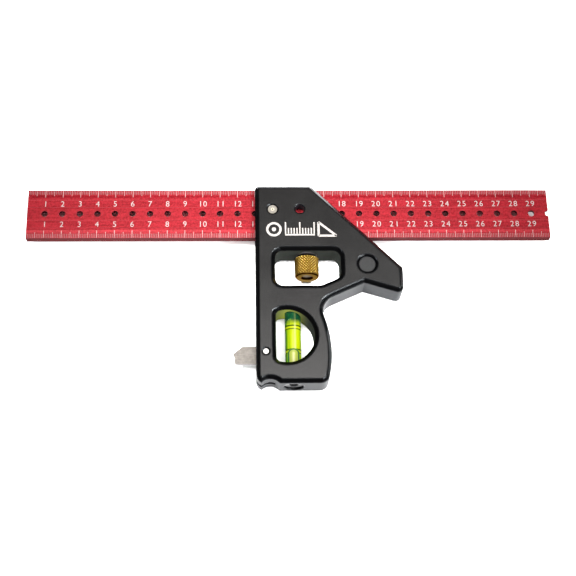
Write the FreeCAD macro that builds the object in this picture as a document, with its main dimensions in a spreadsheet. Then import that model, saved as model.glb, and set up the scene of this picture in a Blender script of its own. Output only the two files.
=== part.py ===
import FreeCAD, Part
import math
import os
import sys

import Sketcher
from FreeCAD import Placement, Rotation, Vector

# A combination square lying on its back. X runs along the rule, Y across it
# and Z up out of the head's face. The origin is at the centre of the whole
# object's footprint, on the surface that the head's back face rests on.

DIMENSIONS = {
    # rule
    "rule_length": 300.0,
    "rule_width": 30.0,
    "rule_thickness": 5.5,
    "rule_strip": 3.4,
    "rule_slope": 1.5,
    "rule_land": 1.2,
    "rule_groove": 5.0,
    "rule_relief": 0.3,
    "rule_groove_slope": 0.3,
    "rule_channel_width": 6.6,
    "rule_channel_depth": 3.6,
    "rule_hole_radius": 1.85,
    "rule_pitch": 10.0,
    # head outline
    "head_length": 118.0,
    "head_thickness": 18.5,
    "head_chamfer": 2.0,
    "fence_x": -20.0,
    "mitre_x": 12.2,
    "nose_x": 62.9,
    "nose_y": -7.5,
    "notch_x": 41.1,
    "notch_y": -0.8,
    "waist_x": 26.9,
    "waist_y": -17.6,
    "waist_radius": 9.5,
    "bulge_x": -41.5,
    "bulge_radius": 63.0,
    "thumb_x": -12.4,
    "thumb_y": -63.3,
    "thumb_radius": 6.7,
    "sharp_corner": 2.2,
    "nose_corner": 3.2,
    "foot_corner": 5.0,
    # windows
    "window_left": -9.0,
    "lock_window_right": 28.0,
    "lock_window_top": 18.8,
    "lock_window_bottom": -2.3,
    "lock_window_cut_x": 16.9,
    "lock_window_cut_y": 2.6,
    "window_corner": 4.5,
    "vial_window_x": -2.85,
    "vial_window_y": -31.9,
    "vial_window_radius": 15.25,
    "vial_window_corner": 3.0,
    # rule slot and lock
    "slot_play": 0.1,
    "lock_x": 9.2,
    "lock_radius": 5.0,
    "bolt_play": 0.1,
    "bolt_shoulder_y": 23.6,
    "bolt_top_y": 27.6,
    "tongue_gap": 0.25,
    "tongue_end_y": 46.6,
    "tongue_room": 1.7,
    "hook_bottom_y": 40.8,
    "hook_height": 5.0,
    "hook_rise": 1.4,
    "stud_radius": 2.94,
    "stud_end_y": 6.3,
    "nut_radius": 6.85,
    "nut_bottom_y": 5.2,
    "nut_length": 11.7,
    "nut_chamfer": 0.7,
    "nut_bore_radius": 3.0,
    "nut_bore_chamfer": 0.4,
    "nut_hub_radius": 4.6,
    "washer_radius": 6.0,
    "washer_thickness": 1.0,
    "washer_play": 0.2,
    "spring_wire": 0.4,
    "spring_radius": 3.9,
    "spring_turns": 3.0,
    # detent
    "detent_x": -10.0,
    "detent_radius": 2.65,
    "detent_recess": 0.6,
    "detent_mouth": 0.45,
    "detent_floor_gap": 0.3,
    "detent_roof": 1.0,
    "detent_lip": 0.35,
    "detent_rim": 0.2,
    "detent_dimple": 0.35,
    "detent_bore_radius": 1.6,
    "detent_lip_radius": 1.3,
    "ball_radius": 1.5,
    "ball_spring_wire": 0.17,
    "ball_spring_turns": 3.5,
    "sight_x": 5.5,
    "sight_radius": 2.7,
    "sight_mouth": 0.15,
    # magnet
    "magnet_x": 42.9,
    "magnet_y": 10.2,
    "magnet_radius": 4.75,
    "magnet_thickness": 4.0,
    "magnet_recess": 1.3,
    "magnet_mouth": 1.1,
    "magnet_chamfer": 0.3,
    # support tab
    "pin_x": -14.6,
    "pin_y": -41.2,
    "pin_radius": 1.7,
    "pin_recess": 0.6,
    "pin_floor": 1.5,
    "pin_chamfer": 0.3,
    "pin_mouth": 0.5,
    "tab_thickness": 2.0,
    "tab_slot": 2.4,
    "tab_slot_gap": 0.3,
    "tab_boss": 4.4,
    "tab_outer_side": 5.2,
    "tab_inner_side": 4.8,
    "tab_reach": 17.7,
    "tab_bevel": 4.8,
    "tab_bevel_drop": 3.9,
    "tab_nose_drop": 4.8,
    "tab_hollow_x": 0.7,
    "tab_hollow_y": 6.2,
    "tab_heel_x": 0.5,
    "tab_heel_y": 8.6,
    "tab_end_x": 0.9,
    "tab_washer_radius": 3.8,
    "tab_washer_recess": 0.3,
    "tab_washer_play": 0.15,
    # spirit level
    "vial_x": 0.6,
    "vial_radius": 4.5,
    "vial_top_y": -12.4,
    "vial_end_y": -52.95,
    "vial_wall": 1.0,
    "vial_cap": 3.0,
    "vial_rim": 0.3,
    "vial_bore_room": 0.2,
    "vial_plug_length": 3.4,
    "vial_surface": 1.5,
    "bubble_y": -43.8,
    "bubble_length": 11.2,
    "bubble_rounding": 1.0,
    "plug_radius": 5.4,
    "plug_recess": 1.1,
    "plug_chamfer": 0.4,
    "plug_top_y": -54.25,
    "pad_thickness": 1.15,
    "socket_width": 5.0,
    "socket_depth": 2.6,
    # fits
    "bore_play": 0.1,
    "running_gap": 0.05,
    "seat_gap": 0.03,
    "press_gap": 0.02,
    # how far a cutting outline runs past what it cuts
    "overcut": 1.0,
}


class Dim:
    """A size that carries its value and the expression that drives it."""

    def __init__(self, text, value):
        self.text = text
        self.value = value

    def joined(self, sign, other, value):
        return Dim("(%s %s %s)" % (self.text, sign, other.text), value)

    def __add__(self, other):
        other = dim(other)
        return self.joined("+", other, self.value + other.value)

    def __sub__(self, other):
        other = dim(other)
        return self.joined("-", other, self.value - other.value)

    def __mul__(self, other):
        other = dim(other)
        return self.joined("*", other, self.value * other.value)

    def __truediv__(self, other):
        other = dim(other)
        return self.joined("/", other, self.value / other.value)

    def __neg__(self):
        return Dim("(0 - %s)" % self.text, -self.value)


def dim(value):
    if isinstance(value, Dim):
        return value
    return Dim(repr(float(value)), float(value))


class Sizes:
    """Every driving dimension as an attribute, backed by the spreadsheet."""

    def __init__(self, doc, values):
        self.sheet = doc.addObject("Spreadsheet::Sheet", "Sizes")
        for row, (name, value) in enumerate(values.items(), start=1):
            self.sheet.set("A%d" % row, name)
            self.sheet.set("B%d" % row, repr(value))
            self.sheet.setAlias("B%d" % row, name)
            setattr(self, name, Dim("Sizes.%s" % name, value))


def bind(obj, prop, size):
    obj.setExpression(prop, dim(size).text)


def body(doc, name):
    made = doc.addObject("PartDesign::Body", name)
    made.Label = name
    return made


def sketch(owner, name, role, offset=0.0):
    made = owner.newObject("Sketcher::SketchObject", name)
    plane = [f for f in owner.Origin.OriginFeatures if f.Role == role][0]
    made.AttachmentSupport = [(plane, "")]
    made.MapMode = "FlatFace"
    bind(made, ".AttachmentOffset.Base.z", offset)
    return made


def point(x, y):
    return Vector(dim(x).value, dim(y).value, 0)


def anchor(made, geometry, position, x=None, y=None):
    """Bind one point of a sketch to its sizes."""
    for kind, size in (("DistanceX", x), ("DistanceY", y)):
        if size is None:
            continue
        size = dim(size)
        index = made.addConstraint(Sketcher.Constraint(kind, -1, 1, geometry, position, size.value))
        bind(made, "Constraints[%d]" % index, size)


def polygon(made, corners):
    """A closed outline of straight lines with every corner bound."""
    count = len(corners)
    first = made.GeometryCount
    for i in range(count):
        start = corners[i]
        end = corners[(i + 1) % count]
        made.addGeometry(Part.LineSegment(point(*start), point(*end)), False)
    for i in range(count):
        after = first + (i + 1) % count
        made.addConstraint(Sketcher.Constraint("Coincident", first + i, 2, after, 1))
        anchor(made, first + i, 1, *corners[i])


def rectangle(made, left, right, low, high):
    polygon(made, [(left, low), (right, low), (right, high), (left, high)])


def circle(made, x, y, radius):
    radius = dim(radius)
    index = made.addGeometry(Part.Circle(point(x, y), Vector(0, 0, 1), radius.value), False)
    rule = made.addConstraint(Sketcher.Constraint("Radius", index, radius.value))
    bind(made, "Constraints[%d]" % rule, radius)
    anchor(made, index, 3, x, y)


def arc(made, x, y, radius, start, end):
    """An arc, counter-clockwise, with its radius bound."""
    radius = dim(radius)
    centre = point(x, y)
    shape = Part.ArcOfCircle(Part.Circle(centre, Vector(0, 0, 1), radius.value), start, end)
    index = made.addGeometry(shape, False)
    rule = made.addConstraint(Sketcher.Constraint("Radius", index, radius.value))
    bind(made, "Constraints[%d]" % rule, radius)
    return index


def pad(owner, profile, length, both_ways=False, reverse=False):
    made = owner.newObject("PartDesign::Pad", profile.Name + "_pad")
    made.Profile = profile
    bind(made, "Length", length)
    made.Midplane = both_ways
    made.Reversed = reverse
    return made


def pocket(owner, profile, length, both_ways=False, reverse=False):
    """Cut a sketch away and make sure that something was cut."""
    doc = owner.Document
    doc.recompute()
    before = owner.Shape.Volume
    made = owner.newObject("PartDesign::Pocket", profile.Name + "_pocket")
    made.Profile = profile
    made.Type = "Length"
    bind(made, "Length", length)
    made.Midplane = both_ways
    made.Reversed = reverse
    doc.recompute()
    if made.Shape.Volume > before - LEAST_CUT:
        raise RuntimeError("%s cuts nothing" % made.Name)
    return made


# How near an edge must be to where it is looked for, in mm.
NEAR_CORNER = 0.05
NEAR_CIRCLE = 0.01
NEAR_LEVEL = 1e-4
# The least volume that a cut must take away, in mm3.
LEAST_CUT = 0.01


def upright_edges(shape, places):
    """Names of the edges along Z at the given corners."""
    names = []
    for x, y in places:
        x = dim(x).value
        y = dim(y).value
        found = [
            i
            for i, edge in enumerate(shape.Edges, start=1)
            if isinstance(edge.Curve, Part.Line)
            and abs(edge.tangentAt(edge.FirstParameter).z) > 0.999
            and math.hypot(edge.CenterOfMass.x - x, edge.CenterOfMass.y - y) < NEAR_CORNER
        ]
        if not found:
            raise RuntimeError("no edge at %.2f, %.2f" % (x, y))
        names += ["Edge%d" % i for i in found]
    return names


def dress(owner, kind, name, edges, prop, size):
    base = owner.Tip
    made = owner.newObject("PartDesign::" + kind, name)
    made.Base = (base, edges)
    bind(made, prop, size)
    owner.Document.recompute()
    return made


def round_corners(owner, name, places, radius):
    owner.Document.recompute()
    edges = upright_edges(owner.Tip.Shape, places)
    return dress(owner, "Fillet", name, edges, "Radius", radius)


def rim_edges(shape, heights):
    """Names of every edge that lies flat at one of the heights."""
    names = []
    for i, edge in enumerate(shape.Edges, start=1):
        box = edge.BoundBox
        if any(max(abs(box.ZMin - z), abs(box.ZMax - z)) < NEAR_LEVEL for z in heights):
            names.append("Edge%d" % i)
    return names


def circle_edges(shape, x, y, z, radius):
    """Names of the circles around a vertical axis at one height."""
    found = []
    for i, edge in enumerate(shape.Edges, start=1):
        curve = edge.Curve
        if not isinstance(curve, Part.Circle):
            continue
        if abs(curve.Radius - dim(radius).value) > NEAR_CIRCLE:
            continue
        centre = Vector(dim(x).value, dim(y).value, dim(z).value)
        if (curve.Center - centre).Length < NEAR_CIRCLE:
            found.append("Edge%d" % i)
    return found


def place(obj, x, y, z, rotation=None):
    if rotation is not None:
        obj.Placement = Placement(Vector(0, 0, 0), rotation)
    bind(obj, ".Placement.Base.x", x)
    bind(obj, ".Placement.Base.y", y)
    bind(obj, ".Placement.Base.z", z)


# A turned piece is drawn about Z and then laid along the axis it has in use.
ALONG_Z = None
ALONG_Y = Rotation(Vector(1, 0, 0), -90)
COIL_POINTS_PER_TURN = 12


def turned(doc, name, profile, at, rotation=ALONG_Z):
    """A piece of revolution from (radius, height) corners about its own axis."""
    made = body(doc, name)
    outline = sketch(made, name + "_profile", "XZ_Plane")
    polygon(outline, profile)
    spin = made.newObject("PartDesign::Revolution", name + "_turning")
    spin.Profile = outline
    spin.ReferenceAxis = (outline, ["V_Axis"])
    spin.Angle = 360.0
    place(made, *at, rotation=rotation)
    return made


def coil(doc, name, radius, wire, length, turns, at, rotation=ALONG_Z):
    """A compression spring: a round wire swept along a helix, its ends inside the length."""
    rise = (length - wire * 2).value
    turns = turns.value
    steps = round(turns * COIL_POINTS_PER_TURN)
    points = []
    for i in range(steps + 1):
        share = i / steps
        turn = 2 * math.pi * turns * share
        x = radius.value * math.cos(turn)
        y = radius.value * math.sin(turn)
        points.append(Vector(x, y, rise * share))
    line = Part.BSplineCurve()
    line.interpolate(points)
    section = Part.Circle(points[0], Vector(0, 1, 0), wire.value)
    swept = Part.Wire([line.toShape()]).makePipeShell([Part.Wire([section.toShape()])], True, True)
    made = doc.addObject("Part::Feature", name)
    made.Label = name
    made.Shape = swept
    place(made, *at, rotation=rotation)
    return made


def head_outline(made, s, top, bottom):
    """The casting's side view: fence, top, mitre, nose, notch, waist and grip."""
    mitre_end = top - (s.nose_x - s.mitre_x)
    centre_1 = point(s.waist_x, s.waist_y)
    notch = point(s.notch_x, s.notch_y)
    reach = s.waist_radius.value + s.bulge_radius.value
    drop = math.sqrt(reach ** 2 - (s.waist_x.value - s.bulge_x.value) ** 2)
    centre_2 = Vector(s.bulge_x.value, s.waist_y.value - drop, 0)
    to_notch = notch - centre_1
    lean = math.atan2(to_notch.y, to_notch.x)
    meet_line = lean + math.acos(s.waist_radius.value / to_notch.Length)
    to_bulge = centre_2 - centre_1
    meet_bulge = math.atan2(to_bulge.y, to_bulge.x) + 2 * math.pi
    grip_top = meet_bulge - math.pi
    if grip_top > math.pi:
        grip_top -= 2 * math.pi
    grip_foot = -math.asin((centre_2.y - bottom.value) / s.bulge_radius.value)
    tangent = centre_1 + Vector(math.cos(meet_line), math.sin(meet_line), 0) * s.waist_radius.value
    foot_x = centre_2.x + s.bulge_radius.value * math.cos(grip_foot)

    corners = [
        (s.fence_x, bottom),
        (s.fence_x, top),
        (s.mitre_x, top),
        (s.nose_x, mitre_end),
        (s.nose_x, s.nose_y),
        (s.notch_x, s.notch_y),
    ]
    for start, end in zip(corners, corners[1:]):
        made.addGeometry(Part.LineSegment(point(*start), point(*end)), False)
    last = made.addGeometry(Part.LineSegment(notch, tangent), False)
    waist = arc(made, s.waist_x, s.waist_y, s.waist_radius, meet_line, meet_bulge)
    bulge = arc(made, centre_2.x, centre_2.y, s.bulge_radius, grip_foot, grip_top)
    foot = Vector(foot_x, bottom.value, 0)
    sole = made.addGeometry(Part.LineSegment(foot, point(*corners[0])), False)
    for i, corner in enumerate(corners):
        anchor(made, i, 1, *corner)
        if i:
            made.addConstraint(Sketcher.Constraint("Coincident", i - 1, 2, i, 1))
    made.addConstraint(Sketcher.Constraint("Tangent", last, 2, waist, 1))
    made.addConstraint(Sketcher.Constraint("Tangent", waist, 2, bulge, 2))
    made.addConstraint(Sketcher.Constraint("Coincident", bulge, 1, sole, 1))
    made.addConstraint(Sketcher.Constraint("Coincident", sole, 2, 0, 1))
    made.addConstraint(Sketcher.Constraint("Horizontal", sole))
    anchor(made, waist, 3, s.waist_x, s.waist_y)
    anchor(made, bulge, 3, s.bulge_x)
    return mitre_end, foot_x


def head_casting(doc, s):
    made = body(doc, "head_casting")
    top = s.head_length / 2
    bottom = -top
    middle = s.head_thickness / 2
    rule_y = top - s.rule_width / 2

    outline = sketch(made, "outline", "XY_Plane")
    mitre_end, foot_x = head_outline(outline, s, top, bottom)
    pad(made, outline, s.head_thickness)
    sharp = [(s.fence_x, top), (s.mitre_x, top), (s.nose_x, mitre_end)]
    round_corners(made, "sharp_corners", sharp, s.sharp_corner)
    round_corners(made, "nose_corner", [(s.nose_x, s.nose_y)], s.nose_corner)
    feet = [(s.fence_x, bottom), (dim(foot_x), bottom)]
    round_corners(made, "foot_corners", feet, s.foot_corner)

    thumb = sketch(made, "thumb_hollow", "XY_Plane")
    circle(thumb, s.thumb_x, s.thumb_y, s.thumb_radius)
    pocket(made, thumb, s.head_thickness, reverse=True)

    lock_corners = [
        (s.window_left, s.lock_window_bottom),
        (s.lock_window_cut_x, s.lock_window_bottom),
        (s.lock_window_right, s.lock_window_cut_y),
        (s.lock_window_right, s.lock_window_top),
        (s.window_left, s.lock_window_top),
    ]
    lock_window = sketch(made, "lock_window", "XY_Plane")
    polygon(lock_window, lock_corners)
    pocket(made, lock_window, s.head_thickness, reverse=True)
    round_corners(made, "lock_window_corners", lock_corners, s.window_corner)

    half = (s.window_left - s.vial_window_x).value
    rise = math.sqrt(s.vial_window_radius.value ** 2 - half ** 2)
    angle = math.atan2(rise, half)
    vial_window = sketch(made, "vial_window", "XY_Plane")
    curve = arc(vial_window, s.vial_window_x, s.vial_window_y, s.vial_window_radius, -angle, angle)
    low = Vector(s.window_left.value, s.vial_window_y.value - rise, 0)
    high = Vector(s.window_left.value, s.vial_window_y.value + rise, 0)
    flat = vial_window.addGeometry(Part.LineSegment(high, low), False)
    vial_window.addConstraint(Sketcher.Constraint("Coincident", curve, 2, flat, 1))
    vial_window.addConstraint(Sketcher.Constraint("Coincident", flat, 2, curve, 1))
    anchor(vial_window, curve, 3, s.vial_window_x, s.vial_window_y)
    anchor(vial_window, flat, 1, s.window_left)
    vial_window.addConstraint(Sketcher.Constraint("Vertical", flat))
    pocket(made, vial_window, s.head_thickness, reverse=True)
    ends = [(dim(low.x), dim(low.y)), (dim(high.x), dim(high.y))]
    round_corners(made, "vial_window_corners", ends, s.vial_window_corner)

    rims = rim_edges(made.Tip.Shape, (0.0, s.head_thickness.value))
    dress(made, "Chamfer", "rim_chamfer", rims, "Size", s.head_chamfer)

    # the rule's slot, open along the whole top of the head
    half_gap = s.rule_thickness / 2 + s.slot_play
    rule_slot = sketch(made, "rule_slot", "YZ_Plane")
    floor = top - s.rule_width - s.slot_play
    rectangle(rule_slot, floor, top + s.overcut, middle - half_gap, middle + half_gap)
    pocket(made, rule_slot, s.rule_length, both_ways=True)

    # the lock bolt's bore, and the half-round track of its tongue in the back wall
    bore_radius = s.lock_radius + s.bolt_play
    lock_bore = sketch(made, "lock_bore", "XZ_Plane", -(s.lock_window_top - s.overcut))
    circle(lock_bore, s.lock_x, middle, bore_radius)
    pocket(made, lock_bore, floor - s.lock_window_top + s.overcut * 1.5)
    flat_z = middle - half_gap + s.slot_play
    half_width = math.sqrt(bore_radius.value ** 2 - (middle - flat_z).value ** 2)
    side = math.atan2((flat_z - middle).value, half_width)
    tongue_track = sketch(made, "tongue_track", "XZ_Plane", -(floor - s.overcut / 2))
    track = arc(tongue_track, s.lock_x, middle, bore_radius, -math.pi - side, side)
    start = Vector(s.lock_x.value - half_width, flat_z.value, 0)
    end = Vector(s.lock_x.value + half_width, flat_z.value, 0)
    lid = tongue_track.addGeometry(Part.LineSegment(end, start), False)
    tongue_track.addConstraint(Sketcher.Constraint("Coincident", track, 2, lid, 1))
    tongue_track.addConstraint(Sketcher.Constraint("Coincident", lid, 2, track, 1))
    tongue_track.addConstraint(Sketcher.Constraint("Horizontal", lid))
    anchor(tongue_track, track, 3, s.lock_x, middle)
    anchor(tongue_track, lid, 1, y=flat_z)
    pocket(made, tongue_track, s.tongue_end_y + s.tongue_room - floor + s.overcut / 2)

    # holes in the front wall
    face = s.head_thickness
    front = middle + half_gap - s.overcut / 2
    detent_hole = sketch(made, "detent_hole", "XY_Plane", face)
    circle(detent_hole, s.detent_x, rule_y, s.detent_radius + s.running_gap)
    pocket(made, detent_hole, face - front)
    sight_hole = sketch(made, "sight_hole", "XY_Plane", face)
    circle(sight_hole, s.sight_x, rule_y, s.sight_radius)
    pocket(made, sight_hole, face - front)
    magnet_hole = sketch(made, "magnet_hole", "XY_Plane", face)
    circle(magnet_hole, s.magnet_x, s.magnet_y, s.magnet_radius + s.running_gap)
    pocket(made, magnet_hole, s.magnet_recess + s.magnet_thickness + s.running_gap)
    pin_hole = sketch(made, "pin_hole", "XY_Plane", face)
    circle(pin_hole, s.pin_x, s.pin_y, s.pin_radius + s.press_gap)
    pocket(made, pin_hole, face - s.pin_floor)

    mouths = (
        ("detent", s.detent_x, rule_y, s.detent_radius + s.running_gap, s.detent_mouth),
        ("sight", s.sight_x, rule_y, s.sight_radius, s.sight_mouth),
        ("magnet", s.magnet_x, s.magnet_y, s.magnet_radius + s.running_gap, s.magnet_mouth),
        ("pin", s.pin_x, s.pin_y, s.pin_radius + s.press_gap, s.pin_mouth),
    )
    for name, x, y, radius, size in mouths:
        edges = circle_edges(made.Tip.Shape, x, y, face, radius)
        dress(made, "Chamfer", name + "_mouth", edges, "Size", size)

    # the level's bore from the bottom face, wider at its mouth for the plug
    vial_bore = sketch(made, "vial_bore", "XZ_Plane", -bottom)
    circle(vial_bore, s.vial_x, middle, s.vial_radius + s.bore_play)
    pocket(made, vial_bore, s.vial_top_y + s.vial_bore_room - bottom)
    plug_bore = sketch(made, "plug_bore", "XZ_Plane", -bottom)
    circle(plug_bore, s.vial_x, middle, s.plug_radius + s.bore_play)
    pocket(made, plug_bore, s.vial_end_y - bottom)

    # the tab's slot: a quarter turn about the pin, open to the left and below
    tab_slot = sketch(made, "tab_slot", "XY_Plane", middle + s.tab_slot / 2)
    tab_slot_outline(tab_slot, s, bottom)
    pocket(made, tab_slot, s.tab_slot)
    return made


def tab_slot_outline(made, s, bottom):
    gap = s.tab_slot_gap
    side = s.pin_x + s.tab_boss + gap
    inner = s.pin_x + s.tab_inner_side + gap
    left = s.fence_x - s.overcut
    under = bottom - s.overcut
    polygon(
        made,
        [
            (left, under),
            (inner, under),
            (inner, s.pin_y - s.tab_boss),
            (side, s.pin_y - s.tab_boss / 2),
            (side, s.pin_y + s.tab_boss / 2),
            (s.pin_x + s.tab_boss / 2, s.pin_y + s.tab_boss + gap),
            (s.pin_x - s.tab_boss / 2, s.pin_y + s.tab_outer_side + gap),
            (left, s.pin_y + s.tab_outer_side + gap),
        ],
    )


def ruler_section(made, s):
    """Half the rule's section is written out and mirrored about its middle."""
    half = s.rule_width / 2
    middle = s.head_thickness / 2
    edge = s.rule_thickness / 2 - s.rule_relief
    face = s.rule_thickness / 2
    slope = half - s.rule_strip
    land = slope - s.rule_slope
    groove = land - s.rule_land
    centre = groove - s.rule_groove
    channel = s.rule_channel_width / 2
    web = s.rule_channel_depth - s.rule_thickness / 2
    side = [
        (half, edge),
        (slope, edge),
        (land, face),
        (groove, face),
        (groove - s.rule_groove_slope, edge),
        (centre + s.rule_groove_slope, edge),
        (centre, face),
    ]
    left = [(-y, z) for y, z in reversed(side)]
    back_left = [(-y, -z) for y, z in side]
    back_right = [(y, -z) for y, z in reversed(side)]
    slot = [(-channel, -face), (-channel, web), (channel, web), (channel, -face)]
    line = s.head_length / 2 - half
    corners = side + left + back_left + slot + back_right
    polygon(made, [(line + y, middle + z) for y, z in corners])


def ruler_blade(doc, s):
    made = body(doc, "ruler_blade")
    section = sketch(made, "rule_section", "YZ_Plane")
    ruler_section(section, s)
    pad(made, section, s.rule_length, both_ways=True)
    holes = sketch(made, "rule_holes", "XY_Plane", s.head_thickness)
    line = s.head_length / 2 - s.rule_width / 2
    circle(holes, s.rule_pitch - s.rule_length / 2, line, s.rule_hole_radius)
    first = pocket(made, holes, s.head_thickness)
    row = made.newObject("PartDesign::LinearPattern", "hole_row")
    row.Originals = [first]
    row.Direction = (holes, ["H_Axis"])
    row.Occurrences = round((s.rule_length / s.rule_pitch).value)
    bind(row, "Length", s.rule_length - s.rule_pitch)
    made.Tip = row
    return made


def lock_bolt(doc, s):
    """Round bolt: stud below, guide in the bore, tongue and hook behind the rule."""
    made = body(doc, "lock_bolt")
    middle = s.head_thickness / 2
    guide = sketch(made, "bolt_guide", "XZ_Plane", -s.bolt_shoulder_y)
    circle(guide, s.lock_x, middle, s.lock_radius)
    pad(made, guide, s.tongue_end_y - s.bolt_shoulder_y, reverse=True)
    tongue_z = middle - s.rule_thickness / 2 - s.slot_play - s.tongue_gap
    hook_z = tongue_z + s.hook_rise + s.tongue_gap
    hook_top = s.hook_bottom_y + s.hook_height
    high = s.head_thickness
    flats = sketch(made, "bolt_flats", "YZ_Plane", s.lock_x - s.lock_radius * 2)
    polygon(
        flats,
        [
            (s.bolt_top_y, tongue_z),
            (s.hook_bottom_y, tongue_z),
            (s.hook_bottom_y, hook_z),
            (hook_top, hook_z),
            (hook_top, tongue_z),
            (s.tongue_end_y + s.overcut, tongue_z),
            (s.tongue_end_y + s.overcut, high),
            (s.bolt_top_y, high),
        ],
    )
    pocket(made, flats, s.lock_radius * 4, reverse=True)
    stud = sketch(made, "bolt_stud", "XZ_Plane", -s.bolt_shoulder_y)
    circle(stud, s.lock_x, middle, s.stud_radius)
    pad(made, stud, s.bolt_shoulder_y - s.stud_end_y)
    return made


# The tab's rounded boss is a polygon; these are its flats as shares of its radius.
BOSS_FLAT = 0.87
BOSS_CORNER = 0.8


def support_tab(doc, s):
    """Flat lug folded out to the left, drawn about its pivot."""
    made = body(doc, "support_tab")
    outline = sketch(made, "tab_outline", "XY_Plane")
    shoulder = s.tab_boss / 2
    shoulder_side = s.tab_boss * BOSS_FLAT
    boss_corner = shoulder * BOSS_CORNER
    tip = s.tab_reach
    outer = s.tab_outer_side
    polygon(
        outline,
        [
            (shoulder, shoulder_side),
            (-shoulder, outer),
            (-(tip - s.tab_bevel), outer),
            (-tip, outer - s.tab_bevel_drop),
            (-tip, outer - s.tab_nose_drop),
            (-(tip - s.tab_hollow_x), outer - s.tab_hollow_y),
            (-(tip - s.tab_heel_x), outer - s.tab_heel_y),
            (-(tip - s.tab_end_x), -s.tab_inner_side),
            (-s.tab_boss, -s.tab_inner_side),
            (shoulder, -shoulder_side),
            (s.tab_boss, -boss_corner),
            (s.tab_boss, boss_corner),
        ],
    )
    pad(made, outline, s.tab_thickness, both_ways=True)
    eye = sketch(made, "tab_eye", "XY_Plane")
    circle(eye, 0, 0, s.pin_radius + s.running_gap)
    pocket(made, eye, s.tab_thickness, both_ways=True)
    half = s.tab_thickness / 2
    for name, level, reverse in (("front", half, False), ("back", -half, True)):
        seat = sketch(made, "tab_seat_" + name, "XY_Plane", level)
        circle(seat, 0, 0, s.tab_washer_radius + s.bore_play)
        pocket(made, seat, s.tab_washer_recess, reverse=reverse)
    place(made, s.pin_x, s.pin_y, s.head_thickness / 2)
    return made


def tab_fittings(doc, s):
    middle = s.head_thickness / 2
    pin_length = s.head_thickness - s.pin_recess - s.pin_floor
    tip = s.pin_radius - s.pin_chamfer
    shank = pin_length - s.pin_chamfer
    turned(
        doc,
        "tab_pivot_pin",
        [(0, 0), (s.pin_radius, 0), (s.pin_radius, shank), (tip, pin_length), (0, pin_length)],
        (s.pin_x, s.pin_y, s.pin_floor),
    )
    seat = s.tab_thickness / 2 - s.tab_washer_recess
    wall = s.tab_slot / 2
    gap = wall - seat
    bore = s.pin_radius + s.tab_washer_play
    metal = gap / 2
    cone = gap - s.press_gap
    rim = s.tab_washer_radius
    turned(
        doc,
        "tab_spring_washer",
        [(bore, cone - metal), (rim, s.seat_gap), (rim, metal), (bore, cone)],
        (s.pin_x, s.pin_y, middle + seat),
    )
    turned(
        doc,
        "tab_flat_washer",
        [(bore, 0), (rim, 0), (rim, gap - s.seat_gap), (bore, gap - s.seat_gap)],
        (s.pin_x, s.pin_y, middle - wall),
    )


def lock_fittings(doc, s):
    middle = s.head_thickness / 2
    hub_top = s.lock_window_top - s.washer_thickness - s.seat_gap
    hub_length = hub_top - s.nut_bottom_y - s.nut_length
    shoulder = s.nut_radius - s.nut_chamfer
    full = s.nut_length
    turned(
        doc,
        "lock_nut",
        [
            (s.nut_bore_radius + s.nut_bore_chamfer, 0),
            (shoulder, 0),
            (s.nut_radius, s.nut_chamfer),
            (s.nut_radius, full - s.nut_chamfer),
            (shoulder, full),
            (s.nut_hub_radius, full),
            (s.nut_hub_radius, full + hub_length),
            (s.nut_bore_radius, full + hub_length),
            (s.nut_bore_radius, s.nut_bore_chamfer),
        ],
        (s.lock_x, s.nut_bottom_y, middle),
        ALONG_Y,
    )
    eye = s.nut_bore_radius + s.washer_play
    turned(
        doc,
        "lock_washer",
        [
            (eye, 0),
            (s.washer_radius, 0),
            (s.washer_radius, s.washer_thickness),
            (eye, s.washer_thickness),
        ],
        (s.lock_x, s.lock_window_top - s.washer_thickness, middle),
        ALONG_Y,
    )
    length = s.bolt_shoulder_y - s.lock_window_top
    coil(
        doc,
        "lock_spring",
        s.spring_radius,
        s.spring_wire,
        length - s.press_gap * 2,
        s.spring_turns,
        (s.lock_x, s.lock_window_top + s.spring_wire + s.press_gap, middle),
        ALONG_Y,
    )


# Where the ball's spring sits on the ball, as shares of the ball's radius.
BALL_SEAT_HEIGHT = 0.72
BALL_SEAT_WIDTH = 0.76


def detent(doc, s):
    """Turned sleeve pressed into the front wall, with its ball and spring."""
    middle = s.head_thickness / 2
    rule_y = s.head_length / 2 - s.rule_width / 2
    rule_face = middle + s.rule_thickness / 2
    base = rule_face + s.detent_floor_gap
    length = s.head_thickness - s.detent_recess - base
    roof = length - s.detent_roof
    dimple = s.detent_dimple
    turned(
        doc,
        "detent_sleeve",
        [
            (s.detent_lip_radius, 0),
            (s.detent_radius, 0),
            (s.detent_radius, length - s.detent_rim),
            (s.detent_radius - s.detent_rim, length),
            (dimple, length),
            (0, length - dimple),
            (0, roof),
            (s.detent_bore_radius, roof),
            (s.detent_bore_radius, s.detent_lip),
            (s.detent_lip_radius, s.detent_lip),
        ],
        (s.detent_x, rule_y, base),
    )
    ball = doc.addObject("Part::Sphere", "detent_ball")
    ball.Label = "detent_ball"
    bind(ball, "Radius", s.ball_radius)
    ball_z = rule_face + s.slot_play + s.ball_radius
    place(ball, s.detent_x, rule_y, ball_z)
    wire = s.ball_spring_wire
    seat = ball_z + s.ball_radius * BALL_SEAT_HEIGHT
    coil(
        doc,
        "detent_spring",
        s.ball_radius * BALL_SEAT_WIDTH,
        wire,
        base + roof - seat - s.press_gap * 2,
        s.ball_spring_turns,
        (s.detent_x, rule_y, seat + wire + s.press_gap),
    )


def disc_magnet(doc, s):
    rim = s.magnet_radius
    thick = s.magnet_thickness
    bevel = s.magnet_chamfer
    turned(
        doc,
        "disc_magnet",
        [(0, 0), (rim, 0), (rim, thick - bevel), (rim - bevel, thick), (0, thick)],
        (s.magnet_x, s.magnet_y, s.head_thickness - s.magnet_recess - thick),
    )


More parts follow.
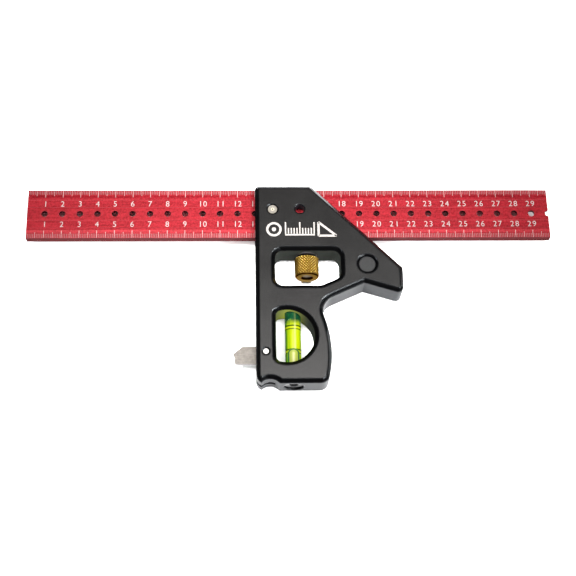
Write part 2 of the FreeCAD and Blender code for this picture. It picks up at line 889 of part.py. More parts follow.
def spirit_level(doc, s):
    """Barrel with liquid and bubble, closed by a plug and held by a pad and a socket plug."""
    middle = s.head_thickness / 2
    bore = s.vial_radius - s.vial_wall
    length = s.vial_top_y - s.vial_end_y
    roof = length - s.vial_cap
    at = (s.vial_x, s.vial_end_y, middle)
    rim = s.vial_rim
    turned(
        doc,
        "vial_tube",
        [
            (bore, 0),
            (s.vial_radius - rim, 0),
            (s.vial_radius, rim),
            (s.vial_radius, length - rim),
            (s.vial_radius - rim, length),
            (0, length),
            (0, roof),
            (bore, roof),
        ],
        at,
        ALONG_Y,
    )
    fit = bore - s.press_gap
    plug = s.vial_plug_length
    turned(doc, "vial_end_plug", [(0, 0), (fit, 0), (fit, plug), (0, plug)], at, ALONG_Y)
    thick = s.pad_thickness
    turned(
        doc,
        "vial_pad",
        [(0, 0), (s.plug_radius, 0), (s.plug_radius, thick), (0, thick)],
        (s.vial_x, s.vial_end_y - thick - s.seat_gap, middle),
        ALONG_Y,
    )

    # the liquid is a full column with a flat on top, where the bubble runs
    liquid = body(doc, "vial_liquid")
    column = sketch(liquid, "column", "XZ_Plane")
    circle(column, 0, 0, bore - s.seat_gap)
    pad(liquid, column, roof - plug - s.seat_gap * 2, reverse=True)
    surface = sketch(liquid, "surface", "XZ_Plane")
    rectangle(surface, -s.vial_radius, s.vial_radius, s.vial_surface, s.vial_radius)
    pocket(liquid, surface, roof)
    place(liquid, s.vial_x, s.vial_end_y + plug + s.seat_gap, middle)

    bubble = body(doc, "vial_bubble")
    blank = sketch(bubble, "bubble_blank", "XZ_Plane")
    circle(blank, 0, 0, bore - s.seat_gap * 4)
    pad(bubble, blank, s.bubble_length, both_ways=True)
    under = sketch(bubble, "bubble_underside", "XZ_Plane")
    level = s.vial_surface + s.running_gap
    rectangle(under, -s.vial_radius, s.vial_radius, -s.vial_radius, level)
    pocket(bubble, under, s.bubble_length * 2, both_ways=True)
    doc.recompute()
    ends = [
        "Edge%d" % i
        for i, edge in enumerate(bubble.Tip.Shape.Edges, start=1)
        if abs(abs(edge.CenterOfMass.y) - s.bubble_length.value / 2) < NEAR_LEVEL
        and not isinstance(edge.Curve, Part.Line)
    ]
    dress(bubble, "Fillet", "bubble_ends", ends, "Radius", s.bubble_rounding)
    place(bubble, s.vial_x, s.bubble_y, middle)

    bottom = -s.head_length / 2
    screw_length = s.plug_top_y - bottom - s.plug_recess
    screw = turned(
        doc,
        "vial_retaining_plug",
        [
            (0, 0),
            (s.plug_radius - s.plug_chamfer, 0),
            (s.plug_radius, s.plug_chamfer),
            (s.plug_radius, screw_length),
            (0, screw_length),
        ],
        (s.vial_x, bottom + s.plug_recess, middle),
        ALONG_Y,
    )
    across = s.socket_width / 2
    reach = across * (2 / math.sqrt(3))
    socket = sketch(screw, "hex_socket", "XY_Plane")
    polygon(
        socket,
        [
            (reach, 0),
            (reach / 2, across),
            (-reach / 2, across),
            (-reach, 0),
            (-reach / 2, -across),
            (reach / 2, -across),
        ],
    )
    pocket(screw, socket, s.socket_depth, reverse=True)


def check(doc, pieces):
    """Refuse to write anything if a feature or a piece has failed."""
    faults = []
    for obj in doc.Objects:
        if "Invalid" in obj.State or "Error" in obj.State:
            faults.append("%s: %s" % (obj.Name, obj.State))
    for piece in pieces:
        shape = piece.Shape
        if shape.isNull() or not shape.isValid() or not shape.Solids:
            faults.append("%s has no valid solid" % piece.Label)
    if faults:
        print("\n".join(faults))
        sys.exit(1)


def main():
    doc = FreeCAD.newDocument("combination_square")
    s = Sizes(doc, DIMENSIONS)
    doc.recompute()
    head_casting(doc, s)
    ruler_blade(doc, s)
    lock_bolt(doc, s)
    lock_fittings(doc, s)
    detent(doc, s)
    support_tab(doc, s)
    tab_fittings(doc, s)
    disc_magnet(doc, s)
    spirit_level(doc, s)
    doc.recompute()

    names = [
        "head_casting", "ruler_blade", "lock_bolt", "lock_nut", "lock_washer", "lock_spring",
        "detent_sleeve", "detent_ball", "detent_spring", "support_tab", "tab_pivot_pin",
        "tab_spring_washer", "tab_flat_washer", "disc_magnet", "vial_tube", "vial_liquid",
        "vial_bubble", "vial_end_plug", "vial_pad", "vial_retaining_plug",
    ]
    pieces = [doc.getObject(name) for name in names]
    check(doc, pieces)
    os.makedirs("parts", exist_ok=True)
    for piece in pieces:
        piece.Shape.exportStep("parts/%s.step" % piece.Label)
        box = piece.Shape.BoundBox
        low = "%.2f %.2f %.2f" % (box.XMin, box.YMin, box.ZMin)
        high = "%.2f %.2f %.2f" % (box.XMax, box.YMax, box.ZMax)
        print("%-20s %9.1f mm3  from %s to %s" % (piece.Label, piece.Shape.Volume, low, high))


main()
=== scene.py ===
"""The looks of a combination square.

A red anodised rule runs through a black head, which carries a brass lock nut, a spirit level,
a detent, a magnet and a small folding tab.
"""

import math

import bpy
from mathutils import Matrix, Vector


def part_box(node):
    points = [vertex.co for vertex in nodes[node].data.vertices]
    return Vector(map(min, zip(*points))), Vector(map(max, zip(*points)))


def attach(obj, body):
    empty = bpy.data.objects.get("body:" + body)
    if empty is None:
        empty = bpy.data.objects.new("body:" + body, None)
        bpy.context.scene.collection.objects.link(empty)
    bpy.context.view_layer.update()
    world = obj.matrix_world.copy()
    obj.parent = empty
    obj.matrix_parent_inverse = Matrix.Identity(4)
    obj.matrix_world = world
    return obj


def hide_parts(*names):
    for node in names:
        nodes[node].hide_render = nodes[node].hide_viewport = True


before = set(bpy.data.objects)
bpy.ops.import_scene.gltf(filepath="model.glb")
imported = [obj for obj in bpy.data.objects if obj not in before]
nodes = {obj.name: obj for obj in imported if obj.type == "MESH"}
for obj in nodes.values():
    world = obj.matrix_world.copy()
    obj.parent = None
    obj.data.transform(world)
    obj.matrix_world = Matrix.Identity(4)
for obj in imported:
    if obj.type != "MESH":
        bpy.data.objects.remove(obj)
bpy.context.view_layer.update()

MM = 0.001
MM_PER_METRE = 1000.0

# ---------------------------------------------------------------- sizes in mm

rule_low, rule_high = (Vector(corner) * MM_PER_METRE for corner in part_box("ruler_blade"))
RULE_START, RULE_END = rule_low.x, rule_high.x
RULE_LOW, RULE_HIGH = rule_low.y, rule_high.y
RULE_MIDDLE = (RULE_LOW + RULE_HIGH) / 2
RULE_TOP = rule_high.z
RULE_EDGE_SHINE_AND_WEAR = 0.3
# the lowered strip along each long edge, the slope up from it, and how deep it and the grooves lie
STRIP, SLOPE, RELIEF = 3.4, 1.5, 0.3
# a wall nearer the rule's middle line than this is a hole's and gets the holes' painted shade, with a
# soft limit from outside to inside
HOLE_ROW = (6.0, 5.0)

EDGE_GAP = 0.12
MARK_LIFT = 0.02
# spacings of the graduations, widest first, and for each of them the ticks' length and width
TICK_STEPS = (10, 5, 1)
FINE_TICKS = {1: (2.7, 0.42)}
COARSE_TICKS = {10: (4.6, 0.32), 5: (3.7, 0.24)}
CENTIMETRE = 10
NUMBER_ROW = 6.4
NUMBER_SHIFT = -0.1
ONE_SHIFT = 0.35
DIGIT_HEIGHT = 3.4
DIGIT_ADVANCE = 2.9
DIGIT_STRETCH = 0.94
DIGIT_THINNING = -0.004

FACE_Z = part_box("head_casting")[1][2] * MM_PER_METRE
EDGE_ROUNDING = 1.4
# the window round the nut: its centre, its half size and how far past it the mask fades
LOCK_WINDOW = ((9.5, 8.25, 0.0), (18.5, 10.55, 0.0))
LOCK_WINDOW_MARGIN = 0.5
# the window round the level: an arc with a straight left side; its mask fades between the margins
LEVEL_WINDOW = (-2.85, -31.9, 0.0)
LEVEL_WINDOW_RADIUS = 15.25
LEVEL_WINDOW_MARGINS = (0.9, 0.4)
LEVEL_WINDOW_LEFT = (-10.0, -9.5)
LEVEL_WINDOW_TOP = LEVEL_WINDOW[1] + LEVEL_WINDOW_RADIUS

MOTIF_LEFT, MOTIF_RIGHT = -13.8, 25.9
MOTIF_LOW, MOTIF_HIGH = 26.4, 35.6
COMPASS_HEIGHT = 31.2
COMPASS_OUTER, COMPASS_INNER, COMPASS_DOT = 4.4, 3.1, 1.2
# the drawn rule's ends, measured in from the motif's, its marks and its base line
BARS_FROM_LEFT, BARS_FROM_RIGHT = 11.0, 12.5
BARS, BARS_TO_LONG = 11, 5
BAR_START, BAR_SHORTER, BAR_WIDTH = 2.0, 3.6, 0.75
BASE_HEIGHT, BASE_OVERHANG, BASE_WIDTH = 1.4, 0.31, 0.9
SET_SQUARE_WIDTH, SET_SQUARE_HEIGHT, SET_SQUARE_LINE = 10.0, 0.8, 1.3

nut_low, nut_high = (Vector(corner) * MM_PER_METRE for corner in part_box("lock_nut"))
NUT_AXIS = (nut_low + nut_high) / 2
NUT_RADIUS = (nut_high.x - nut_low.x) / 2
NUT_LENGTH = 11.7
NUT_BORE, NUT_HUB = 3.0, 4.6
NUT_BEVEL, NUT_PLAIN = 0.75, 0.95
# the nut's smaller bevels: round the hub, at the bore's mouth, beside the knurl and at the lower end
HUB_BREAK, BORE_BREAK, RIM_BREAK, END_BREAK = 0.2, 0.5, 0.08, 0.05
KNURLS, KNURL_STEPS, KNURL_PITCH = 26, 8, 1.66
KNURL_DEPTH, KNURL_FLAT = 0.40, 0.80

level_low, level_high = (Vector(corner) * MM_PER_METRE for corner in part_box("vial_tube"))
LEVEL_X, LEVEL_Z = (level_low.x + level_high.x) / 2, (level_low.z + level_high.z) / 2
LEVEL_RADIUS = (level_high.x - level_low.x) / 2
LEVEL_RINGS = (-24.8, -38.65)
RING_PARALLAX = 1.9
COLUMN_END = (-24.5, -21.0)
# the colours in the barrel, and its line of light, lie a little to the right of its axis
LENS_SHIFT, LENS_MARGIN, STREAK_SHIFT = 0.8, 0.45, 1.0

bubble_low, bubble_high = (Vector(corner) * MM_PER_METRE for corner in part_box("vial_bubble"))
BUBBLE_MIDDLE = (bubble_low.y + bubble_high.y) / 2
BUBBLE_REACH = (bubble_high.y - bubble_low.y) / 2
BUBBLE_HALF, BUBBLE_END = 3.4, 2.7
BUBBLE_LIFT, BUBBLE_CROWN = 0.015, 2.0
BUBBLE_ACROSS, BUBBLE_ALONG = 28, 48

# ---------------------------------------------------------------- camera, floor and light, in metres

SPOT_AIM = (-0.015, 0.044, 0.015)
SPOT_CONE, SPOT_POWER, SPOT_RADIUS = 11.7, 135.0, 0.05
# heights in the world's own scale, and how grey the room is at them
ROOM_HEIGHTS, ROOM_GREYS, ROOM_BLUE = (0.25, 1.0), (0.020, 0.22), 1.03
FLOOR_HALF, FLOOR_DROP = 3.0, 0.0001


def make_camera():
    """Looks down on the face from the grip's side, a little turned and rolled."""
    tilt, turn, roll = math.radians(21.5), math.radians(-2.16), math.radians(-1.06)
    target = Vector((-1.78, -2.0, 12.0)) * MM
    distance = 684.86 * MM
    back = Vector(
        (math.sin(turn), -math.sin(tilt) * math.cos(turn), math.cos(tilt) * math.cos(turn))
    ).normalized()
    level = (-back).cross(Vector((0, 1, 0))).normalized()
    upright = level.cross(-back)
    right = level * math.cos(roll) + upright * math.sin(roll)
    up = upright * math.cos(roll) - level * math.sin(roll)
    data = bpy.data.cameras.new("camera")
    data.sensor_width = 36.0
    data.lens = 76.27
    camera = bpy.data.objects.new("camera", data)
    axes = Matrix((right, up, back)).transposed().to_4x4()
    camera.matrix_world = Matrix.Translation(target + back * distance) @ axes
    bpy.context.scene.collection.objects.link(camera)
    bpy.context.scene.camera = camera


def hang_lamp(name, data, place, aim):
    """Puts a lamp at a place, facing a point."""
    lamp = bpy.data.objects.new(name, data)
    lamp.location = place
    lamp.rotation_euler = (Vector(aim) - Vector(place)).to_track_quat("-Z", "Y").to_euler()
    bpy.context.scene.collection.objects.link(lamp)


def make_panel(name, place, aim, size, power):
    """A soft rectangular lamp."""
    data = bpy.data.lights.new(name, "AREA")
    data.shape = "RECTANGLE"
    data.size, data.size_y = size
    data.energy = power
    hang_lamp(name, data, place, aim)


def make_spot(name, place):
    """A soft-edged spot on the middle of the rule."""
    data = bpy.data.lights.new(name, "SPOT")
    data.energy = SPOT_POWER
    data.spot_size = math.radians(SPOT_CONE)
    data.spot_blend = 1.0
    data.shadow_soft_size = SPOT_RADIUS
    hang_lamp(name, data, place, SPOT_AIM)


def make_world():
    """A dark room with a lit ceiling; only the camera sees pale walls."""
    world = bpy.data.worlds.new("room")
    world.use_nodes = True
    tree = world.node_tree
    background = tree.nodes["Background"]
    output = tree.nodes["World Output"]
    place = tree.nodes.new("ShaderNodeTexCoord")
    split = tree.nodes.new("ShaderNodeSeparateXYZ")
    ramp = tree.nodes.new("ShaderNodeValToRGB")
    for element, height, grey in zip(ramp.color_ramp.elements, ROOM_HEIGHTS, ROOM_GREYS):
        element.position = height
        element.color = (grey, grey, grey * ROOM_BLUE, 1)
    tree.links.new(place.outputs["Generated"], split.inputs[0])
    tree.links.new(split.outputs["Z"], ramp.inputs[0])
    tree.links.new(ramp.outputs[0], background.inputs["Color"])
    walls = tree.nodes.new("ShaderNodeBackground")
    walls.inputs["Color"].default_value = (0.80, 0.80, 0.81, 1)
    path = tree.nodes.new("ShaderNodeLightPath")
    choose = tree.nodes.new("ShaderNodeMixShader")
    tree.links.new(path.outputs["Is Camera Ray"], choose.inputs[0])
    tree.links.new(background.outputs[0], choose.inputs[1])
    tree.links.new(walls.outputs[0], choose.inputs[2])
    tree.links.new(choose.outputs[0], output.inputs["Surface"])
    bpy.context.scene.world = world


def make_floor():
    """A pale matt floor, just under the object."""
    mesh = bpy.data.meshes.new("floor")
    corners = [(-1, -1, 0), (1, -1, 0), (1, 1, 0), (-1, 1, 0)]
    mesh.from_pydata([Vector(corner) * FLOOR_HALF for corner in corners], [], [(0, 1, 2, 3)])
    floor = bpy.data.objects.new("floor", mesh)
    bpy.context.scene.collection.objects.link(floor)
    floor.location.z = -FLOOR_DROP
    matt = plain(
        "floor_white", (0.93, 0.93, 0.93), (0.96, 0.96, 0.96), 0.6, 0.7, grain_scale=0.2, depth=0.02
    )
    mesh.materials.append(matt)


# ---------------------------------------------------------------- materials

# parts of a noise's range that are stretched over the whole of what it drives
FULL, WIDE, NARROW = (0.2, 0.8), (0.3, 0.7), (0.35, 0.65)
# how squarely a surface faces along an axis: where it starts and ends to count as one of these
FLAT_FACE = (0.978, 0.999)
SLOPING = (0.15, 0.40)
SIDE_WALL = (0.7, 0.3)
TURNED_END = (0.90, 0.98)

# painted glow: the level's light on its window's wall is painted on the casting, from a point left of its
# axis at the window's top
GLOW_SHIFT = 2.5
GLOW_STRETCH = (1.0, 0.8, 0.25)
GLOW_REACH = (2.0, 13.0)
GLOW_FALL = 1.6
GLOW_WALL = (0.15, 0.3)
GLOW_TOP = (-14.0, -15.5)

# painted glow: the level's colours partly shine by themselves, standing in for light that passes through
# the barrel
CLEAR = {"Roughness": 0.08, "Specular_IOR_Level": 0.3, "Coat_Weight": 0.25, "Coat_Roughness": 0.03}
CLEAR_BODY, CLEAR_SHINE = 0.17, 0.35


class Graph:
    """One material's nodes. Lengths in it are millimetres in the object's own space."""

    def __init__(self, name, **values):
        self.material = bpy.data.materials.new(name)
        self.material.use_nodes = True
        self.tree = self.material.node_tree
        self.shader = self.tree.nodes["Principled BSDF"]
        for socket, value in values.items():
            self.shader.inputs[socket.replace("_", " ")].default_value = value
        place = self.node("ShaderNodeTexCoord").outputs["Object"]
        self.place = self.vector("SCALE", place, scale=MM_PER_METRE)

    def node(self, kind, **settings):
        made = self.tree.nodes.new(kind)
        for name, value in settings.items():
            setattr(made, name, value)
        return made

    def feed(self, socket, value):
        """Links an output to the socket, or sets a plain value on it."""
        if isinstance(value, bpy.types.NodeSocket):
            self.tree.links.new(value, socket)
        else:
            socket.default_value = value

    def set(self, name, value):
        self.feed(self.shader.inputs[name], value)

    def math(self, operation, *values):
        made = self.node("ShaderNodeMath", operation=operation)
        for socket, value in zip(made.inputs, values):
            self.feed(socket, value)
        return made.outputs[0]

    def vector(self, operation, *values, scale=None):
        made = self.node("ShaderNodeVectorMath", operation=operation)
        for socket, value in zip(made.inputs, values):
            self.feed(socket, value)
        if scale is not None:
            made.inputs["Scale"].default_value = scale
        return made.outputs["Value"] if operation in ("LENGTH", "DOT_PRODUCT") else made.outputs[0]

    def part(self, vector, axis):
        split = self.node("ShaderNodeSeparateXYZ")
        self.feed(split.inputs[0], vector)
        return split.outputs[axis]

    def gap(self, value, centre):
        """How far a value is from a centre, either way."""
        return self.math("ABSOLUTE", self.math("SUBTRACT", value, centre))

    def weigh(self, *shares):
        """The sum of values, each times its share."""
        total = None
        for value, share in shares:
            term = self.math("MULTIPLY", value, share)
            total = term if total is None else self.math("ADD", total, term)
        return total

    def waver(self, value, noise, amount):
        """A value moved to and fro by a noise."""
        shift = self.math("MULTIPLY", self.math("SUBTRACT", noise, 0.5), amount)
        return self.math("ADD", value, shift)

    def noise(self, scale, detail=2.0, roughness=0.5, stretch=None, place=None):
        """Smooth noise from 0 to 1; scale is features per millimetre."""
        at = place or self.place
        if stretch is not None:
            at = self.vector("MULTIPLY", at, stretch)
        made = self.node("ShaderNodeTexNoise")
        self.feed(made.inputs["Vector"], at)
        made.inputs["Scale"].default_value = scale
        made.inputs["Detail"].default_value = detail
        made.inputs["Roughness"].default_value = roughness
        return made.outputs[0]

    def spread(self, value, low, high, to_low=0.0, to_high=1.0):
        """Maps low..high of a value onto to_low..to_high, clamped."""
        made = self.node("ShaderNodeMapRange")
        for socket, number in zip(made.inputs, (value, low, high, to_low, to_high)):
            self.feed(socket, number)
        return made.outputs[0]

    def mix(self, factor, first, second):
        """A colour between two others."""
        made = self.node("ShaderNodeMix", data_type="RGBA")
        self.feed(made.inputs[0], factor)
        for socket, colour in ((made.inputs[6], first), (made.inputs[7], second)):
            self.feed(socket, (*colour, 1.0) if isinstance(colour, tuple) else colour)
        return made.outputs[2]

    def blend(self, factor, first, second):
        """A number between two others."""
        made = self.node("ShaderNodeMix", data_type="FLOAT")
        for index, value in ((0, factor), (2, first), (3, second)):
            self.feed(made.inputs[index], value)
        return made.outputs[0]

    def darken(self, colour, share):
        return self.vector("SCALE", colour, scale=share)

    def ramp(self, value, *stops):
        """The colour at a value, from a row of stops: each a position and a colour."""
        made = self.node("ShaderNodeValToRGB")
        self.feed(made.inputs[0], value)
        elements = made.color_ramp.elements
        for element, (position, colour) in zip(elements, (stops[0], stops[-1])):
            element.position, element.color = position, (*colour, 1)
        for position, colour in stops[1:-1]:
            elements.new(position).color = (*colour, 1)
        return made.outputs[0]

    def true_normal(self):
        return self.node("ShaderNodeNewGeometry").outputs["True Normal"]

    def rounded_normal(self, radius, samples):
        """The surface's direction as if its edges had been rounded."""
        made = self.node("ShaderNodeBevel", samples=samples)
        made.inputs["Radius"].default_value = radius * MM
        return made.outputs[0]

    def facing(self, normal, axis):
        """How squarely a surface faces along an axis, either way, from 0 to 1."""
        return self.math("ABSOLUTE", self.part(normal, axis))

    def bump(self, height, depth, normal=None):
        """Tilts the shading by a height from 0 to 1 that stands for depth millimetres."""
        made = self.node("ShaderNodeBump")
        made.inputs["Strength"].default_value = 1.0
        made.inputs["Distance"].default_value = depth * MM
        self.feed(made.inputs["Height"], height)
        if normal is not None:
            self.feed(made.inputs["Normal"], normal)
        self.set("Normal", made.outputs[0])

    def radius_from(self, centre, axis):
        """Distance from a line through centre along axis."""
        keep = Vector((1, 1, 1)) - Vector(axis)
        off = self.vector("SUBTRACT", self.place, tuple(centre))
        return self.vector("LENGTH", self.vector("MULTIPLY", off, tuple(keep)))

    def turned_rings(self, centre, axis):
        """Fine cutting marks: noise that depends only on the distance from the axis."""
        at = self.node("ShaderNodeCombineXYZ")
        self.feed(at.inputs[0], self.radius_from(centre, axis))
        return self.noise(9.0, detail=2.0, place=at.outputs[0])

    def shine_through(self, colour):
        """Gives the shader a colour that partly shines by itself: a painted glow."""
        self.set("Base Color", self.darken(colour, CLEAR_BODY))
        self.set("Emission Color", colour)
        self.set("Emission Strength", CLEAR_SHINE)


def head_black():
    """Black casting: fine satin faces, deep black chamfers and plainer walls; the chamfers' extra black
    and the walls' lighter colour are painted shade and painted light.
    """
    g = Graph("head_black", Specular_IOR_Level=0.5)
    normal = g.rounded_normal(EDGE_ROUNDING, samples=8)
    upright = g.facing(normal, "Z")
    face = g.spread(upright, *FLAT_FACE)
    chamfer = g.math("MULTIPLY", g.spread(upright, *SLOPING), g.math("SUBTRACT", 1.0, face))
    in_window = window_mask(g)
    grain = g.noise(5.5, detail=3.0, roughness=0.6)
    cloud = g.noise(0.06, detail=3.0, roughness=0.6)
    mottle = g.noise(0.9, detail=4.0, roughness=0.7)

    # painted light and shade: one black finish is coloured by how each surface faces; the chamfers are
    # blacker still, the outer walls lighter and bluish, and the walls inside the windows, left without
    # sheen, lighter again
    skin = g.mix(grain, (0.0014, 0.0014, 0.0015), (0.0040, 0.0038, 0.0036))
    edge = g.mix(grain, (0.0005, 0.0005, 0.0006), (0.0012, 0.0012, 0.0013))
    outer_wall = g.mix(grain, (0.005, 0.006, 0.0075), (0.010, 0.0115, 0.014))
    window_wall = g.mix(grain, (0.018, 0.020, 0.018), (0.032, 0.035, 0.031))
    wall = g.mix(in_window, outer_wall, window_wall)
    g.set("Base Color", g.mix(chamfer, g.mix(face, wall, skin), edge))

    uneven = g.weigh((cloud, 0.7), (mottle, 0.3))
    face_roughness = g.spread(uneven, *NARROW, 0.225, 0.262)
    wall_roughness = g.spread(grain, *FULL, 0.26, 0.34)
    g.set("Roughness", g.blend(chamfer, g.blend(face, wall_roughness, face_roughness), 0.17))
    gloss = g.blend(face, g.blend(in_window, 0.033, 0.0), 0.345)
    # painted highlight: only the chamfers that lean to the right get gloss, so only they shine
    chamfer_gloss = g.spread(g.part(normal, "X"), 0.12, 0.24, 0.020, 0.25)
    g.set("Specular IOR Level", g.blend(chamfer, gloss, chamfer_gloss))
    g.set("Specular Tint", g.mix(face, (0.88, 0.95, 1.0), (1.0, 0.98, 0.96)))
    g.bump(grain, 0.005, normal)
    # painted glow: the casting's window walls glow yellow-green, standing in for the level's light
    g.set("Emission Color", (0.52, 0.60, 0.07, 1.0))
    g.set("Emission Strength", g.math("MULTIPLY", level_glow(g, upright), 0.5))
    return g.material


def window_mask(g):
    """One inside the two windows, where the walls see less of the light and get a lighter painted colour,
    and nought elsewhere.
    """
    middle, half = LOCK_WINDOW
    reach = g.vector("SUBTRACT", g.vector("ABSOLUTE", g.vector("SUBTRACT", g.place, middle)), half)
    outside = g.math("MAXIMUM", g.part(reach, "X"), g.part(reach, "Y"))
    in_lock = g.spread(outside, LOCK_WINDOW_MARGIN, 0.0)
    off = g.vector("MULTIPLY", g.vector("SUBTRACT", g.place, LEVEL_WINDOW), (1.0, 1.0, 0.0))
    bounds = (LEVEL_WINDOW_RADIUS + margin for margin in LEVEL_WINDOW_MARGINS)
    in_level = g.spread(g.vector("LENGTH", off), *bounds)
    right_of_bar = g.spread(g.part(g.place, "X"), *LEVEL_WINDOW_LEFT)
    return g.math("MAXIMUM", in_lock, g.math("MULTIPLY", in_level, right_of_bar))


def level_glow(g, upright):
    """How strongly the painted glow of the level's light shows on the walls of its window, from 0 to 1.
    """
    off = g.vector("SUBTRACT", g.place, (LEVEL_X - GLOW_SHIFT, LEVEL_WINDOW_TOP, LEVEL_Z))
    off = g.vector("MULTIPLY", off, GLOW_STRETCH)
    near = g.spread(g.vector("LENGTH", off), *GLOW_REACH, 1.0, 0.0)
    on_wall = g.math("SUBTRACT", 1.0, g.spread(upright, *GLOW_WALL))
    below_top = g.spread(g.part(g.place, "Y"), *GLOW_TOP)
    return g.math("MULTIPLY", g.math("MULTIPLY", g.math("POWER", near, GLOW_FALL), on_wall), below_top)


def rule_red():
    """Red anodised aluminium, blasted before it was dyed."""
    g = Graph("rule_red", Metallic=0.25)
    grain = g.noise(0.85, detail=4.0, roughness=0.8)
    fine = g.noise(4.0, detail=3.0, roughness=0.7)
    drawn = g.noise(0.9, detail=3.0, stretch=(0.05, 1.0, 1.0))
    shade = g.spread(g.weigh((grain, 0.5), (drawn, 0.2), (fine, 0.3)), 0.43, 0.57)
    dyed = g.mix(shade, (0.076, 0.0008, 0.0024), (0.168, 0.0066, 0.0112))
    # painted highlight, with the dye's wear: the edges that stand proud are coloured lighter
    normal = g.true_normal()
    rounded = g.rounded_normal(RULE_EDGE_SHINE_AND_WEAR, samples=6)
    turn = g.math("SUBTRACT", 1.0, g.vector("DOT_PRODUCT", rounded, normal))
    dyed = g.mix(g.spread(turn, 0.001, 0.012, 0.0, 0.22), dyed, (0.25, 0.052, 0.058))
    # painted shade: the side walls are coloured darker and lose their sheen, and the walls of the holes
    # darkest
    side = g.spread(g.facing(normal, "Z"), *SIDE_WALL)
    hole = g.spread(g.gap(g.part(g.place, "Y"), RULE_MIDDLE), *HOLE_ROW)
    walls = g.mix(hole, g.darken(dyed, 0.38), g.darken(dyed, 0.10))
    g.set("Base Color", g.mix(side, dyed, walls))
    g.set("Specular IOR Level", g.blend(side, 0.10, 0.0))
    g.set("Roughness", g.spread(grain, *WIDE, 0.42, 0.55))
    g.bump(g.weigh((grain, 0.6), (fine, 0.4)), 0.02)
    return g.material


def print_white(name, low, high):
    """White filling of engraved marks, thin in places."""
    g = Graph(name, Specular_IOR_Level=0.3)
    wear = g.noise(1.6, detail=4.0, roughness=0.7)
    g.set("Base Color", g.mix(g.spread(wear, *NARROW), low, high))
    g.set("Roughness", g.spread(wear, *FULL, 0.5, 0.65))
    g.bump(wear, 0.004)
    return g.material


def brass():
    """Knurled brass: bright on the points, dark in the cuts and on the turned end, with painted shade in
    the bore.
    """
    g = Graph("brass", Metallic=1.0)
    brass_mottle = g.noise(1.1, detail=4.0, roughness=0.65)
    radius = g.radius_from(NUT_AXIS, (0, 1, 0))
    height = g.spread(radius, NUT_RADIUS - KNURL_DEPTH, NUT_RADIUS - 0.04)
    knurl = g.ramp(
        g.weigh((height, 0.75), (brass_mottle, 0.35)),
        (0.30, (0.016, 0.006, 0.001)),
        (0.62, (0.115, 0.062, 0.008)),
        (1.00, (0.60, 0.405, 0.090)),
    )
    turned = g.turned_rings(NUT_AXIS, (0, 1, 0))
    dull = g.mix(turned, (0.058, 0.042, 0.027), (0.125, 0.096, 0.064))
    # painted shade: the bore is coloured near black, with a dim reflection, as a shaded hole
    bore_shade = g.mix(brass_mottle, (0.012, 0.006, 0.003), (0.040, 0.021, 0.009))
    end = g.spread(g.facing(g.true_normal(), "Y"), *TURNED_END)
    bore = g.spread(radius, NUT_BORE + 0.35, NUT_BORE + 0.15)
    g.set("Base Color", g.mix(bore, g.mix(end, knurl, dull), bore_shade))
    tint = g.mix(end, (0.50, 0.33, 0.12), (0.50, 0.42, 0.32))
    g.set("Specular Tint", g.mix(bore, tint, (0.25, 0.16, 0.08)))
    g.set("Roughness", g.blend(end, g.spread(brass_mottle, *WIDE, 0.30, 0.40), 0.34))
    g.bump(turned, 0.003)
    return g.material


def steel(name, dark, light, smooth=0.2, rough=0.35):
    """Bare or plated steel."""
    g = Graph(name, Metallic=1.0)
    grain = g.noise(1.5, detail=4.0, roughness=0.65)
    g.set("Base Color", g.mix(grain, dark, light))
    g.set("Roughness", g.spread(grain, *WIDE, smooth, rough))
    g.bump(grain, 0.003)
    return g.material


def turned_steel(name, node, dark, light, dot=0.0):
    """A bright turned end: cutting marks round the piece's own axis, and a centre mark of radius dot."""
    low, high = (Vector(corner) * MM_PER_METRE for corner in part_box(node))
    centre = (low + high) / 2
    rim = (high.x - low.x) / 2
    g = Graph(name, Metallic=1.0)
    rings = g.turned_rings(centre, (0, 0, 1))
    cloud = g.noise(0.8, detail=3.0)
    colour = g.mix(g.spread(g.weigh((rings, 0.7), (cloud, 0.3)), *NARROW), dark, light)
    radius = g.radius_from(centre, (0, 0, 1))
    colour = g.mix(g.spread(radius, rim - 0.5, rim - 0.1), colour, (0.30, 0.27, 0.22))
    if dot:
        colour = g.mix(g.spread(radius, dot * 2.6, dot * 1.6), colour, (0.45, 0.40, 0.31))
        colour = g.mix(g.spread(radius, dot * 1.3, dot * 0.9), colour, (0.05, 0.04, 0.03))
    g.set("Base Color", colour)
    g.set("Roughness", g.spread(rings, *WIDE, 0.34, 0.44))
    g.bump(rings, 0.008)
    return g.material


def tab_steel():
    """Rolled plate, tumbled: a warm grey mottle with fine rolling lines and darker edges."""
    g = Graph("tab_steel", Metallic=0.85)
    mottle = g.noise(0.55, detail=5.0, roughness=0.7)
    lines = g.noise(1.6, detail=3.0, stretch=(0.15, 1.0, 1.0))
    shade = g.weigh((mottle, 0.65), (lines, 0.35))
    colour = g.mix(g.spread(shade, *NARROW), (0.056, 0.050, 0.044), (0.114, 0.103, 0.091))
    edge = g.spread(g.facing(g.true_normal(), "Z"), *SIDE_WALL)
    g.set("Base Color", g.mix(edge, colour, (0.10, 0.09, 0.085)))
    g.set("Roughness", g.spread(mottle, *WIDE, 0.38, 0.50))
    g.bump(shade, 0.02)
    return g.material


def plain(name, dark, light, smooth, rough, grain_scale=3.0, depth=0.01, **values):
    """Moulded plastic, rubber, paint or a coated magnet, with a fine mottle."""
    g = Graph(name, **values)
    grain = g.noise(grain_scale, detail=3.0)
    g.set("Base Color", g.mix(grain, dark, light))
    g.set("Roughness", g.spread(grain, *WIDE, smooth, rough))
    g.bump(grain, depth)
    return g.material


